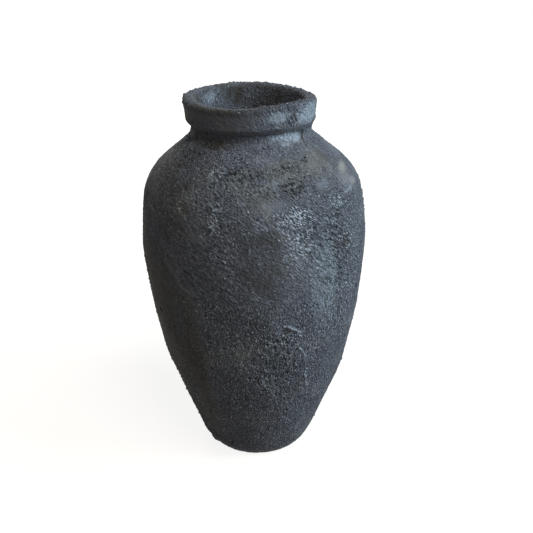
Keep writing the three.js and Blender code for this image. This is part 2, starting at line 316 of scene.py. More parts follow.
# What the photograph shows in single places on the coat: how many degrees round from the front and
# how many millimetres up, how far each reaches to the side and up, and how it leans. Calm is
# trowelled smooth, coarse has heavier grit, crumbs has loose grains on top, pits has crevices, worn
# has more grains turned grey, as wear and as painted highlight, ash is pale grey, as ash and as painted
# sheen, dust lies on it, deep is blacker, as the coat's own black and as painted shade, print is a
# thumb's smooth mark, and lift raises it by that many millimetres. Those marked inside are on the
# inside of the mouth.
places = {
    # The smears and the front of the collar are trowelled smooth; the pale grey on them is painted
    # sheen
    "smearUnderCrease": dict(at=(31, 388), reach=(19, 5), calm=0.35, ashAndSheen=0.6, wearAndHighlight=0.8, pits=0.6),
    "smearLow": dict(at=(31, 382), reach=(8, 3), calm=0.7, ashAndSheen=0.5),
    "smearEnd": dict(at=(44, 386), reach=(7, 6), calm=0.6, ashAndSheen=0.75, wearAndHighlight=0.6),
    "smoothCollarFront": dict(at=(24, 409), reach=(15, 6), calm=0.7, ashAndSheen=0.65, wearAndHighlight=0.3),
    "collarCrack": dict(at=(34, 406), reach=(6, 8), lean=20, pits=1.4, coarse=0.6),
    # Pale grey on the right of the collar is painted highlight, where the window falls on it
    "collarRight": dict(at=(60, 407), reach=(22, 12), pits=0.5, ashAndSheen=0.85, wearAndHighlight=0.5),
    # Painted shade: the left of the collar and the lip is darker, away from the window
    "collarLeft": dict(at=(-30, 407), reach=(62, 14), calm=0.8, deep=0.1),
    "lipDark": dict(at=(-30, 418), reach=(70, 6), deep=0.5),
    "collarBack": dict(at=(180, 407), reach=(160, 14), calm=0.35, deep=0.2),
    "collarEdge": dict(at=(0, 395), reach=(420, 3), calm=0.7),
    "neckBand": dict(at=(0, 387), reach=(420, 5), calm=0.5),
    "lipRight": dict(at=(38, 420), reach=(26, 6), coarse=0.5, crumbs=0.8),
    "lipFleck": dict(at=(53, 414), reach=(1.4, 1.4), ashAndSheen=2.0),
    "lipBack": dict(at=(175, 420), reach=(75, 6), coarse=0.7, crumbs=1.0),
    "lipLeft": dict(at=(-95, 418), reach=(40, 6), coarse=0.5, crumbs=0.9),
    "thumbTall": dict(at=(67.8, 353.2), reach=(5, 14.5), lean=-82, calm=1.0, print=0.85),
    "thumbRound": dict(at=(62, 345), reach=(15, 10), calm=0.7, print=0.2),
    "thumbCore": dict(at=(67, 340), reach=(4.5, 11), lean=-99, calm=1.0, print=0.6),
    "thumbBand": dict(at=(57, 336.5), reach=(13, 2.2), lean=3, calm=0.6, ashAndSheen=0.5),
    "thumbTail": dict(at=(46.5, 328), reach=(5, 8), lean=-25, calm=0.3, ashAndSheen=0.4, wearAndHighlight=0.7),
    "calmRight": dict(at=(89, 350), reach=(26, 30), calm=0.65),
    "calmBand": dict(at=(10, 339), reach=(16, 6), calm=0.8, ashAndSheen=0.25),
    "calmAbove": dict(at=(9, 371), reach=(13, 6), calm=0.7, ashAndSheen=0.3),
    "dustyShoulder": dict(at=(8, 356), reach=(62, 24), dust=0.8),
    "dustyLeft": dict(at=(-72, 362), reach=(32, 16), dust=1.0, coarse=0.4, wearAndHighlight=0.3),
    "dustyRight": dict(at=(48, 362), reach=(40, 22), dust=0.9),
    "deepBelly": dict(at=(2, 282), reach=(24, 62), deep=0.5),
    # Painted shade: the left side, away from the window, is made darker here and in places below
    "deepLeft": dict(at=(-90, 230), reach=(75, 200), deep=0.65, dust=0.8),
    "smoothLeft": dict(at=(-64, 195), reach=(52, 92), calm=0.5, deep=0.95, dust=0.8),
    "deepMiddle": dict(at=(2, 243), reach=(24, 38), deep=0.5),
    "deepRight": dict(at=(46, 287), reach=(16, 16), deep=0.58),
    "deepLowRight": dict(at=(42, 248), reach=(12, 14), deep=0.4),
    "deepPit": dict(at=(24, 365), reach=(18, 11), deep=0.25, coarse=0.6, pits=0.7),
    "deepBand": dict(at=(0, 342), reach=(9, 7), deep=0.4),
    "deepNeckRight": dict(at=(56, 366), reach=(14, 10), deep=0.4),
    "paleShoulder": dict(at=(8, 354), reach=(16, 8), ashAndSheen=0.42),
    "paleRight": dict(at=(41, 349), reach=(12, 9), ashAndSheen=0.44),
    "paleFront": dict(at=(2, 322), reach=(10, 8), ashAndSheen=0.42),
    "deepArch": dict(at=(16, 122), reach=(18, 30), deep=0.25),
    # Painted shade on the left side, and under the collar at the neck
    "deepUnder": dict(at=(-48, 322), reach=(30, 30), deep=0.4),
    "deepNeck": dict(at=(-33, 382), reach=(19, 7), deep=0.75),
    "deepEdge": dict(at=(-35, 155), reach=(14, 92), calm=0.3, deep=0.68, dust=0.8),
    "deepShoulder": dict(at=(-50, 354), reach=(46, 30), deep=0.48, pits=0.5),
    "pitsLeft": dict(at=(-52, 372), reach=(24, 8), pits=0.8, coarse=0.5),
    "calmBelly": dict(at=(8, 262), reach=(28, 48), calm=0.5),
    "paleBelly": dict(at=(34, 258), reach=(22, 62), ashAndSheen=0.5),
    "paleFlank": dict(at=(-15, 170), reach=(12, 76), ashAndSheen=0.22),
    # Painted highlights, with wear: grey grains on the grit here and in the next three places
    "brightGrit": dict(at=(20, 325), reach=(20, 14), coarse=0.6, wearAndHighlight=1.0),
    "brightGritBelow": dict(at=(19, 300), reach=(16, 30), coarse=0.4, wearAndHighlight=0.75),
    "brightGritRight": dict(at=(46, 331), reach=(10, 7), coarse=0.5, wearAndHighlight=0.85),
    "wornRight": dict(at=(45, 265), reach=(40, 66), coarse=0.4, wearAndHighlight=0.45),
    "pitsFront": dict(at=(-8, 361), reach=(20, 7), coarse=0.8, pits=1.0),
    "pitsRight": dict(at=(22, 351), reach=(12, 17), lean=-25, coarse=0.9, pits=0.85, deep=0.15),
    "pitsHigh": dict(at=(37, 367), reach=(11, 4), lean=15, coarse=0.6, pits=0.9),
    "pitsLow": dict(at=(44, 322), reach=(9, 8), coarse=0.8, pits=1.0, deep=0.25),
    "pitsBelly": dict(at=(38, 280), reach=(26, 50), coarse=0.6, pits=0.65),
    "roughShoulder": dict(at=(12, 356), reach=(60, 22), coarse=0.8, pits=0.4),
    "streakHigh": dict(at=(-22, 362), reach=(7, 22), lean=8, ashAndSheen=0.28, wearAndHighlight=0.35),
    "streakLow": dict(at=(-18, 326), reach=(6, 22), crumbs=0.9, ashAndSheen=0.3, wearAndHighlight=0.75),
    "streakFlank": dict(at=(-15, 300), reach=(10, 40), crumbs=0.6, coarse=0.4, wearAndHighlight=0.4),
    "streakLeft": dict(at=(-37, 338), reach=(9, 18), lean=-30, dust=0.8, wearAndHighlight=0.35),
    "grittyFlank": dict(at=(-6, 150), reach=(70, 110), coarse=0.15, wearAndHighlight=0.35),
    "archPatch": dict(at=(9, 150), reach=(34, 56), lean=-6, coarse=0.3, pits=0.5, wearAndHighlight=0.35),
    "archTop": dict(at=(9, 196), reach=(22, 16), coarse=0.5, crumbs=0.6, pits=0.7, wearAndHighlight=0.5),
    "archBlotch": dict(at=(12, 192), reach=(9, 12), wearAndHighlight=0.6, ashAndSheen=0.3),
    "sidePits": dict(at=(92, 352), reach=(30, 12), coarse=0.8, pits=0.9),
    "sideWorn": dict(at=(104, 316), reach=(20, 24), coarse=0.6, wearAndHighlight=0.9, ashAndSheen=0.2),
    "sideCalm": dict(at=(84, 266), reach=(18, 26), lean=20, calm=0.7, ashAndSheen=0.2),
    "sideDust": dict(at=(122, 356), reach=(46, 20), dust=0.9),
    "sideDeep": dict(at=(112, 214), reach=(26, 60), lean=-15, deep=0.55),
    "sideGrit": dict(at=(86, 160), reach=(26, 50), coarse=0.8, pits=0.7, wearAndHighlight=0.6),
    "sideAsh": dict(at=(122, 120), reach=(18, 40), lean=10, calm=0.4, ashAndSheen=0.4),
    "backPits": dict(at=(166, 342), reach=(26, 18), coarse=0.9, pits=1.0),
    "backWorn": dict(at=(184, 300), reach=(18, 36), lean=12, coarse=0.5, wearAndHighlight=0.9),
    "backCalm": dict(at=(150, 262), reach=(22, 30), calm=0.7, dust=0.5),
    "backDeep": dict(at=(196, 224), reach=(30, 50), deep=0.5),
    "backGrit": dict(at=(160, 140), reach=(34, 50), coarse=0.8, pits=0.7, wearAndHighlight=0.5),
    "backDust": dict(at=(-152, 362), reach=(50, 18), dust=1.0, pits=0.4),
    "farPits": dict(at=(-122, 346), reach=(26, 14), coarse=0.9, pits=0.9),
    "farWorn": dict(at=(-138, 306), reach=(14, 32), lean=-10, wearAndHighlight=0.9, ashAndSheen=0.3),
    "farCalm": dict(at=(-112, 270), reach=(20, 24), calm=0.7),
    "farGrit": dict(at=(-140, 170), reach=(34, 60), coarse=0.8, pits=0.6, wearAndHighlight=0.6),
    "farAsh": dict(at=(-104, 116), reach=(14, 40), lean=8, calm=0.4, ashAndSheen=0.35),
    "knobsLeft": dict(at=(-85, 130), reach=(30, 110), crumbs=0.7, coarse=0.5),
    "knobsRight": dict(at=(85, 315), reach=(25, 40), crumbs=0.8, coarse=0.5),
    "creaseFill": dict(at=(85, 391), reach=(40, 6), calm=0.3, lift=1.6),
    "footEdge": dict(at=(0, 4), reach=(600, 7), calm=0.6),
    "footLedge": dict(at=(-54, 4), reach=(7, 3), lift=1.3),
    # Painted shade darkens the inside of the mouth; the pale blotch in it is a painted highlight
    "mouthDark": dict(at=(0, 405), reach=(600, 40), inside=1, calm=0.4, deep=0.48),
    "mouthDeep": dict(at=(-162, 408), reach=(14, 14), inside=1, deep=0.75),
    "mouthBlotch": dict(at=(-128, 410), reach=(15, 7), inside=1, calm=0.2, ashAndSheen=0.45, wearAndHighlight=0.6),
}

# Thin ridges of coat and grooves in it: degrees round, mm up and mm high along each, how wide each
# is and how much its crest is lightened, as wear and painted highlight; grooves get painted shade.
# The long one runs round the right of the arch-shaped patch.
ridges = {
    "archCrest": dict(width=1.5, wearAndHighlight=1.0, line=[
        (12.6, 217, 0.7), (14.5, 214.5, 1.3), (16.9, 211, 1.4), (20.6, 205, 1.4), (21.5, 198, 0.4)]),
    "archRight": dict(width=1.6, wearAndHighlight=0.9, line=[
        (20, 187, 0.3), (21.8, 182, 1.1), (23.4, 176, 0.6), (24.8, 170, 1.1), (25.2, 161, 0.4),
        (26.4, 152, 0.6), (26.2, 145, 1.0), (27.8, 133, 0.5), (28.8, 127, 1.1), (30.6, 118, 0.5),
        (31.4, 106, 0.3), (33.2, 92, 0.5), (34.3, 81, 0.8), (33.9, 68, 0.3), (33.2, 55, 0.4),
        (30.8, 41, 0.8), (29.7, 34, 0.4)]),
    "archLeft": dict(width=2.2, wearAndHighlight=0.3, line=[
        (-8, 176, 0.8), (-12, 150, 0.4), (-16, 125, 0.7), (-18.5, 103, 0.8), (-19.6, 78, 1.2)]),
    "archShoulder": dict(width=2.4, wearAndHighlight=0.3, line=[(3.9, 180, 0.9), (-3, 176, 0.5)]),
    "flankLeft": dict(width=1.6, wearAndHighlight=0.6, line=[(-29, 50, 0.5), (-30.5, 43, 1.1)]),
    "flankFoot": dict(width=1.8, wearAndHighlight=0.3, line=[(-38, 60, 0.6), (-42, 40, 0.6)]),
    "flankRight": dict(width=1.6, wearAndHighlight=0.2, line=[(36, 180, 0.5), (35, 168, 0.7), (33, 150, 0.3)]),
    "lipStep": dict(width=4.5, line=[(9, 421, 1.3), (22, 421, 1.1), (55, 420, 0.8)]),
    "neckGroove": dict(width=1.1, line=[(55, 391, -1.4), (52.3, 382, -1.3), (51.5, 376, -0.5)]),
}


def markPlaces(piece):
    x, y, z = (readPlaces(piece.data) * 1000).T
    radius = np.hypot(x, y)
    azimuth = np.arctan2(x, -y)
    out = readValues(piece.data, "out")
    slope = np.maximum(np.abs(out), 0.35)
    keys = ("calm", "coarse", "crumbs", "pits", "wearAndHighlight", "ashAndSheen", "dust", "deep", "print", "lift")
    found = {key: np.zeros(len(x)) for key in keys}
    for place in places.values():
        lean = radians(place.get("lean", 0))
        around = azimuth - radians(place["at"][0])
        side = radius * ((around + pi) % (2 * pi) - pi)
        rise = (z - place["at"][1]) / slope
        across = (side * cos(lean) + rise * sin(lean)) / place["reach"][0]
        along = (rise * cos(lean) - side * sin(lean)) / place["reach"][1]
        blob = np.clip(1.5 - np.hypot(across, along), 0, 1)
        blob = np.where((out < -0.2) == bool(place.get("inside")), blob, 0)
        for key in found:
            found[key] = np.maximum(found[key], blob * place.get(key, 0))
    here = np.stack((azimuth * radius, z))
    for ridge in ridges.values():
        nearest = np.zeros(len(x))
        for start, end in zip(ridge["line"], ridge["line"][1:]):
            a = np.stack((radians(start[0]) * radius, np.full(len(x), start[1])))
            b = np.stack((radians(end[0]) * radius, np.full(len(x), end[1])))
            t = np.clip(((here - a) * (b - a)).sum(0) / ((b - a) ** 2).sum(0), 0, 1)
            away = np.hypot(*(here - a - t * (b - a)))
            height = (start[2] + t * (end[2] - start[2])) * np.exp(-(away / ridge["width"]) ** 2)
            nearest = np.where(np.abs(height) > np.abs(nearest), height, nearest)
        nearest = np.where(out > -0.2, nearest, 0)
        found["lift"] += nearest
        # Crests get grey grains and pale grey as painted highlight with wear; grooves get painted shade
        wearAndHighlight = np.clip(nearest, 0, 1) * ridge.get("wearAndHighlight", 0)
        found["wearAndHighlight"] = np.maximum(found["wearAndHighlight"], wearAndHighlight)
        found["ashAndSheen"] = np.maximum(found["ashAndSheen"], 0.8 * wearAndHighlight)
        found["deep"] = np.maximum(found["deep"], np.clip(-nearest, 0, 1) * 1.2)
    for key, values in found.items():
        storeValues(piece.data, key, values)


# The relief of the coat, in millimetres: the size of each form and how far it rises and falls
relief = {
    "dabSize": 11, "dabHeight": 1.5,
    "strokeWidth": 4.5, "strokeLength": 1.9, "strokeHeight": 0.4,
    "grainTallness": 1.35,
    "grainSize": 2.8, "grainHeight": 0.45,
    "gritSize": 2.2, "gritHeight": 1.1,
    "crumbSpacing": 4.5, "crumbHeight": 1.3,
    "creviceWidth": 3.2, "creviceDepth": 1.3,
    "leanFrom": 240, "leanTo": 420,  # heights between which the strokes lean, straight down below
    "twistRadius": 115,  # they fall to the right at 45 degrees where the vase has this radius
    "warpScale": 0.35, "warpReach": 2.6,  # makes the grains uneven
    "lowest": -1.5, "highest": 2.6,  # of all forms together
}


# Turns places so that noise on them runs along the strokes of the hand, drawn out to a length. In
# the unit that the places are in, a millimetre measures oneMm.
def alongStrokes(tree, place, oneMm, length):
    parts = addNode(tree, "ShaderNodeSeparateXYZ", {0: place})
    lean = addNode(tree, "ShaderNodeMapRange", {"Value": parts.outputs["Z"],
                   "From Min": relief["leanFrom"] * oneMm, "From Max": relief["leanTo"] * oneMm,
                   "To Min": relief["leanFrom"] / relief["twistRadius"],
                   "To Max": relief["leanTo"] / relief["twistRadius"]})
    twisted = addNode(tree, "ShaderNodeVectorRotate", {"Vector": place, "Angle": lean},
                      rotation_type="Z_AXIS")
    return addNode(tree, "ShaderNodeVectorMath", {0: twisted, 1: (1, 1, 1 / length)},
                   operation="MULTIPLY")


def buildRelief():
    tree = bpy.data.node_groups.new("coatRelief", "GeometryNodeTree")
    for way in ("INPUT", "OUTPUT"):
        tree.interface.new_socket("Geometry", in_out=way, socket_type="NodeSocketGeometry")
    given = addNode(tree, "NodeGroupInput")
    named = {}
    for key in ("out", "up", "skin", "calm", "coarse", "crumbs", "pits", "lift"):
        named[key] = addNode(tree, "GeometryNodeInputNamedAttribute", {"Name": key}, data_type="FLOAT")
    place = addNode(tree, "GeometryNodeInputPosition")
    inMm = addNode(tree, "ShaderNodeVectorMath", {0: place, "Scale": 1000}, operation="SCALE")
    drawn = alongStrokes(tree, inMm, 1, relief["strokeLength"])
    dab = addNode(tree, "ShaderNodeTexNoise", {"Vector": inMm, "Scale": 1 / relief["dabSize"],
                  "Detail": 2.0, "Roughness": 0.55})
    stroke = addNode(tree, "ShaderNodeTexNoise", {"Vector": drawn, "Scale": 1 / relief["strokeWidth"],
                     "Detail": 2.0, "Roughness": 0.55})
    tall = addNode(tree, "ShaderNodeVectorMath", {0: inMm, 1: (1, 1, 1 / relief["grainTallness"])},
                   operation="MULTIPLY")
    grit = addNode(tree, "ShaderNodeTexNoise", {"Vector": tall, "Scale": 1 / relief["gritSize"],
                   "Detail": 1.0, "Roughness": 0.6})
    warp = addNode(tree, "ShaderNodeTexNoise", {"Vector": inMm, "Scale": relief["warpScale"],
                   "Detail": 1.0})
    warped = addNode(tree, "ShaderNodeVectorMath", {0: warp.outputs["Color"],
                     1: (relief["warpReach"],) * 3, 2: tall}, operation="MULTIPLY_ADD")
    grain = addNode(tree, "ShaderNodeTexVoronoi", {"Vector": warped, "Scale": 1 / relief["grainSize"],
                    "Smoothness": 0.25}, feature="SMOOTH_F1")
    crumb = addNode(tree, "ShaderNodeTexVoronoi", {"Vector": warped,
                    "Scale": 1 / relief["crumbSpacing"]})
    crevice = addNode(tree, "ShaderNodeTexNoise", {"Vector": drawn, "Detail": 1.0,
                      "Scale": 1 / relief["creviceWidth"]})

    # Each form rises and falls about nought, from one end of its stretch of the noise to the other
    rough = 0
    for name, noise, low, high, ease in (
            ("dabHeight", dab, 0, 1, "LINEAR"), ("strokeHeight", stroke, 0.43, 0.57, "SMOOTHSTEP"),
            ("grainHeight", grain, 0.9, 0.1, "LINEAR"), ("gritHeight", grit, 0, 1, "LINEAR")):
        form = addNode(tree, "ShaderNodeMapRange", {"Value": noise, "From Min": low,
                       "From Max": high, "To Min": -relief[name] / 2, "To Max": relief[name] / 2},
                       interpolation_type=ease)
        rough = addNode(tree, "ShaderNodeMath", {0: rough, 1: form}, operation="ADD")

    # Loose crumbs: only some cells hold one, more of them where the place is crumbly
    crumbRandom = addNode(tree, "ShaderNodeSeparateXYZ", {0: crumb.outputs["Color"]})
    crumbLimit = addNode(tree, "ShaderNodeMapRange", {"Value": named["crumbs"], "To Min": 0.03,
                         "To Max": 0.8})
    crumbHere = addNode(tree, "ShaderNodeMath", {0: crumbRandom.outputs["X"], 1: crumbLimit},
                        operation="LESS_THAN")
    crumbShape = addNode(tree, "ShaderNodeMapRange", {"Value": crumb, "From Min": 0.38,
                         "From Max": 0.12, "To Max": relief["crumbHeight"]},
                         interpolation_type="SMOOTHSTEP")
    crumbs = addNode(tree, "ShaderNodeMath", {0: crumbHere, 1: crumbShape}, operation="MULTIPLY")

    # Crevices between the strokes, wider and deeper in the pitted places
    creviceEdge = addNode(tree, "ShaderNodeMapRange", {"Value": named["pits"], "To Min": 0.31,
                          "To Max": 0.45})
    creviceFloor = addNode(tree, "ShaderNodeMath", {0: creviceEdge, 1: 0.07}, operation="SUBTRACT")
    crevices = addNode(tree, "ShaderNodeMapRange", {"Value": crevice, "From Min": creviceEdge,
                       "From Max": creviceFloor, "To Max": -relief["creviceDepth"]},
                       interpolation_type="SMOOTHSTEP")

    # All together, heavier where it is coarse and nearly gone where it is calm
    gain = addNode(tree, "ShaderNodeMapRange", {"Value": named["coarse"], "To Min": 0.8,
                   "To Max": 1.35})
    rough = addNode(tree, "ShaderNodeMath", {0: rough, 1: gain}, operation="MULTIPLY")
    for form in (crumbs, crevices):
        rough = addNode(tree, "ShaderNodeMath", {0: rough, 1: form}, operation="ADD")
    quiet = addNode(tree, "ShaderNodeMapRange", {"Value": named["calm"], "To Min": 1.0,
                    "To Max": 0.15})
    rough = addNode(tree, "ShaderNodeMath", {0: rough, 1: quiet}, operation="MULTIPLY")
    uneven = addNode(tree, "ShaderNodeMapRange", {"Value": grit, "From Min": 0.35,
                     "From Max": 0.65, "To Min": 0.3, "To Max": 1.4})
    height = addNode(tree, "ShaderNodeMath", {0: named["lift"], 1: uneven, 2: rough},
                     operation="MULTIPLY_ADD")
    height = addNode(tree, "ShaderNodeClamp", {"Value": height, "Min": relief["lowest"],
                     "Max": relief["highest"]})
    height = addNode(tree, "ShaderNodeMath", {0: height, 1: named["skin"]}, operation="MULTIPLY")

    # The way out: away from the axis and up or down, as the outline stands there
    level = addNode(tree, "ShaderNodeVectorMath", {0: inMm, 1: (1, 1, 0)}, operation="MULTIPLY")
    away = addNode(tree, "ShaderNodeVectorMath", {0: level}, operation="NORMALIZE")
    away = addNode(tree, "ShaderNodeVectorMath", {0: away, "Scale": named["out"]}, operation="SCALE")
    upward = addNode(tree, "ShaderNodeCombineXYZ", {"Z": named["up"]})
    wayOut = addNode(tree, "ShaderNodeVectorMath", {0: away, 1: upward}, operation="ADD")
    inMetres = addNode(tree, "ShaderNodeMath", {0: height, 1: 0.001}, operation="MULTIPLY")
    offset = addNode(tree, "ShaderNodeVectorMath", {0: wayOut, "Scale": inMetres}, operation="SCALE")

    stored = addNode(tree, "GeometryNodeStoreNamedAttribute", {"Geometry": given, "Name": "relief",
                     "Value": rough}, data_type="FLOAT", domain="POINT")
    moved = addNode(tree, "GeometryNodeSetPosition", {"Geometry": stored, "Offset": offset})
    addNode(tree, "NodeGroupOutput", {"Geometry": moved})
    return tree


coatRelief = buildRelief()


# Black mineral coat: lime and charred mineral grit, dabbed on by hand and left matt. The eye gets a
# dry charcoal with blue-grey tips (worn grains and painted highlights), near-black hollows of painted
# shade and brownish dusty blotches.
coatLook = {
    # tips: grey of worn grains and of painted highlights; hollows: painted shade; deep: the coat's
    # black and painted shade; ash: ash and painted sheen
    "base": "#606268", "shade": "#313236", "dust": "#61615d", "tips": "#b4bcc3",
    "hollows": "#161719", "ashAndSheen": "#7f868c", "deep": "#2b2823", "print": "#6c6963",
    "blotchSize": 45,  # mm
    "sweepWidth": 15,  # mm
    "sweepLength": 3.5,  # times its width
    "fleckSize": 3,  # mm
    "gapSize": 3.0,  # mm
    "grainSize": 2.1,  # mm, of the rounded grains
    "sandSize": 1.6,  # mm, drawn as coarse as it needs to show
    "sandLength": 1.7,  # times its width, along the strokes of the hand
    "sandHeight": 0.0022, "coarseHeight": 0.0040,
    "roughness": 0.85, "calmRoughness": 0.7,
    "gloss": 0.2,  # a porous coat swallows most of what a smooth one would mirror
}


def coatMaterial():
    material = newMaterial("blackMineralCoat")
    tree = material.node_tree
    place = addNode(tree, "ShaderNodeTexCoord").outputs["Object"]
    drawn = alongStrokes(tree, place, 0.001, coatLook["sandLength"])
    height = addNode(tree, "ShaderNodeAttribute", attribute_name="relief").outputs["Fac"]
    marks = {}
    for key in ("calm", "coarse", "pits", "wearAndHighlight", "ashAndSheen", "dust", "deep", "print"):
        marks[key] = addNode(tree, "ShaderNodeAttribute", attribute_name=key).outputs["Fac"]

    # The charcoal ground, speckled by its sand, more so in some sweeps of the hand than in others
    swept = addNode(tree, "ShaderNodeVectorMath", {0: drawn,
                    1: (1, 1, coatLook["sandLength"] / coatLook["sweepLength"])},
                    operation="MULTIPLY")
    fleck, sand, gap, sweep, blotch = (
        addNode(tree, "ShaderNodeTexNoise", {"Vector": where, "Scale": 1000 / coatLook[size],
                "Detail": detail, "Roughness": roughness})
        for where, size, detail, roughness in (
            (drawn, "fleckSize", 2.0, 0.7), (drawn, "sandSize", 2.5, 0.65),
            (drawn, "gapSize", 2.5, 0.6), (swept, "sweepWidth", 3.0, 0.6),
            (place, "blotchSize", 4.0, 0.6)))
    quiet = addNode(tree, "ShaderNodeMapRange", {"Value": marks["calm"], "To Min": 1.0,
                    "To Max": 0.15})
    gain = addNode(tree, "ShaderNodeMapRange", {"Value": sweep, "From Min": 0.38,
                   "From Max": 0.6, "To Min": 2.0, "To Max": 6.4})
    gain = addNode(tree, "ShaderNodeMath", {0: gain, 1: quiet}, operation="MULTIPLY")
    speckled = addNode(tree, "ShaderNodeMath", {0: sand, 1: 0.51}, operation="SUBTRACT")
    speckled = addNode(tree, "ShaderNodeMath", {0: speckled, 1: gain, 2: 0.5},
                       operation="MULTIPLY_ADD", use_clamp=True)

    # Brownish dust lies in wide blotches on the speckled charcoal ground
    dusty = addNode(tree, "ShaderNodeMath", {0: marks["dust"], 1: 0.22, 2: blotch},
                    operation="MULTIPLY_ADD")
    dusty = addNode(tree, "ShaderNodeMapRange", {"Value": dusty, "From Min": 0.46, "From Max": 0.9,
                    "To Max": 0.85}, interpolation_type="SMOOTHSTEP")

    # A deeper black, uneven as the blotches and the long sweeps of the hand, and in the places marked
    # deep; on the left side, under the collar, inside the mouth and in grooves this is painted shade
    deep = addNode(tree, "ShaderNodeMath", {0: marks["deep"], 1: blotch}, operation="ADD")
    deep = addNode(tree, "ShaderNodeMath", {0: sweep, 1: -0.9, 2: deep}, operation="MULTIPLY_ADD")
    deep = addNode(tree, "ShaderNodeMath", {0: deep, 1: 0.47}, operation="ADD")
    deep = addNode(tree, "ShaderNodeMapRange", {"Value": deep, "From Min": 0.72, "From Max": 1.3})

    # Painted shade: hollows of the relief and the narrow gaps between grains go black, most in pitted
    # places
    hollow = addNode(tree, "ShaderNodeMapRange", {"Value": height, "From Min": -0.3,
                     "From Max": -1.1, "To Max": 0.7})
    gapEdge = addNode(tree, "ShaderNodeMapRange", {"Value": marks["pits"], "To Min": 0.36,
                      "To Max": 0.51})
    gapFloor = addNode(tree, "ShaderNodeMath", {0: gapEdge, 1: 0.1}, operation="SUBTRACT")
    gap = addNode(tree, "ShaderNodeMapRange", {"Value": gap, "From Min": gapEdge,
                  "From Max": gapFloor})
    hollow = addNode(tree, "ShaderNodeMath", {0: hollow, 1: gap}, operation="MAXIMUM")

    # Pale grey lies in patches, with an edge that the grit breaks up: ash, and painted sheen on smooth
    # smears and painted highlight on lit crests; thumbs have left smooth prints
    ashAndSheenShare = addNode(tree, "ShaderNodeMath", {0: fleck, 1: marks["ashAndSheen"]}, operation="ADD")
    ashAndSheenShare = addNode(tree, "ShaderNodeMapRange", {"Value": ashAndSheenShare, "From Min": 0.76,
                     "From Max": 1.32, "To Max": 0.8})
    printed = addNode(tree, "ShaderNodeMapRange", {"Value": marks["print"],
                      "From Max": 1.1}, interpolation_type="SMOOTHSTEP")

    # Single grains turn blue grey: wear, and painted highlight on grains that stand high and in lit
    # places
    high = addNode(tree, "ShaderNodeMapRange", {"Value": height, "From Min": 0.1, "From Max": 1.0,
                   "To Max": 0.55})
    wearAndHighlight = addNode(tree, "ShaderNodeMath", {0: marks["wearAndHighlight"], 1: high}, operation="ADD")
    tipFrom = addNode(tree, "ShaderNodeMapRange", {"Value": wearAndHighlight, "To Min": 0.62, "To Max": 0.5})
    tipTo = addNode(tree, "ShaderNodeMath", {0: tipFrom, 1: 0.14}, operation="ADD")
    strength = addNode(tree, "ShaderNodeMapRange", {"Value": wearAndHighlight, "To Min": 0.35})
    tip = addNode(tree, "ShaderNodeMapRange", {"Value": sand, "From Min": tipFrom,
                  "From Max": tipTo, "To Max": strength})

    # Rounded grains with sand between them, finer than the mesh; a few get a bright dot as a painted
    # glint
    grain = addNode(tree, "ShaderNodeTexVoronoi", {"Vector": place,
                    "Scale": 1000 / coatLook["grainSize"]})
    grainRandom = addNode(tree, "ShaderNodeSeparateXYZ", {0: grain.outputs["Color"]})
    glintShare = addNode(tree, "ShaderNodeMapRange", {"Value": wearAndHighlight, "To Min": 0.05,
                         "To Max": 0.2})
    glintSpeck = addNode(tree, "ShaderNodeMath", {0: grainRandom.outputs["X"], 1: glintShare},
                    operation="LESS_THAN")
    paleness = addNode(tree, "ShaderNodeMapRange", {"Value": grainRandom.outputs["Y"],
                       "To Min": 0.15, "To Max": 0.6})
    glintShape = addNode(tree, "ShaderNodeMapRange", {"Value": grain, "From Min": 0.42,
                         "From Max": 0.25, "To Max": paleness})
    glintSpeck = addNode(tree, "ShaderNodeMath", {0: glintSpeck, 1: glintShape}, operation="MULTIPLY")
    grainTop = addNode(tree, "ShaderNodeMapRange", {"Value": grain, "From Min": 0.9, "From Max": 0.0,
                       "To Max": 0.4})
    fine = addNode(tree, "ShaderNodeMath", {0: sand, 1: grainTop}, operation="ADD")

    # All that is rough nearly goes where the coat is calm
    hollow, tip, glintSpeck, fine = (
        addNode(tree, "ShaderNodeMath", {0: share, 1: quiet}, operation="MULTIPLY")
        for share in (hollow, tip, glintSpeck, fine))

    # Each colour lies on the ones before it, as thick as its share
    colour = linearColour(coatLook["shade"])
    for share, name in ((speckled, "base"), (dusty, "dust"), (deep, "deep"), (hollow, "hollows"),
                        (ashAndSheenShare, "ashAndSheen"), (printed, "print"), (tip, "tips"), (glintSpeck, "tips")):
        mix = addNode(tree, "ShaderNodeMix", {"Factor": share, "A": colour,
                      "B": linearColour(coatLook[name])}, data_type="RGBA")
        colour = mix.outputs["Result"]

    heavy = addNode(tree, "ShaderNodeMapRange", {"Value": marks["coarse"],
                    "To Min": coatLook["sandHeight"], "To Max": coatLook["coarseHeight"]})
    uneven = addNode(tree, "ShaderNodeMapRange", {"Value": blotch, "From Min": 0.35,
                     "From Max": 0.65, "To Min": 1.4, "To Max": 0.6})
    heavy = addNode(tree, "ShaderNodeMath", {0: heavy, 1: uneven}, operation="MULTIPLY")
    bump = addNode(tree, "ShaderNodeBump", {"Height": fine, "Strength": 1.0, "Distance": heavy})
    roughness = addNode(tree, "ShaderNodeMapRange", {"Value": marks["calm"],
                        "To Min": coatLook["roughness"], "To Max": coatLook["calmRoughness"]})
    shader = addNode(tree, "ShaderNodeBsdfPrincipled", {"Base Color": colour, "Normal": bump,
                     "Roughness": roughness, "IOR": 1.5, "Specular IOR Level": coatLook["gloss"]})
    addNode(tree, "ShaderNodeOutputMaterial", {"Surface": shader})
    return material


# Unglazed terracotta, thrown on a wheel: an earthenware red that fires unevenly, with iron specks,
# a pale lime bloom and the fine rings that the fingers leave.
clayLook = {
    "base": "#a4583a", "dark": "#7d3f2a", "bloom": "#c99b80", "speck": "#43261c",
    "cloudSize": 40,  # mm
    "speckSize": 2.2,  # mm
    "bloomSize": 22,  # mm
    "ringGap": 2.6,  # mm between the fine throwing lines
    "roughness": 0.9,
}


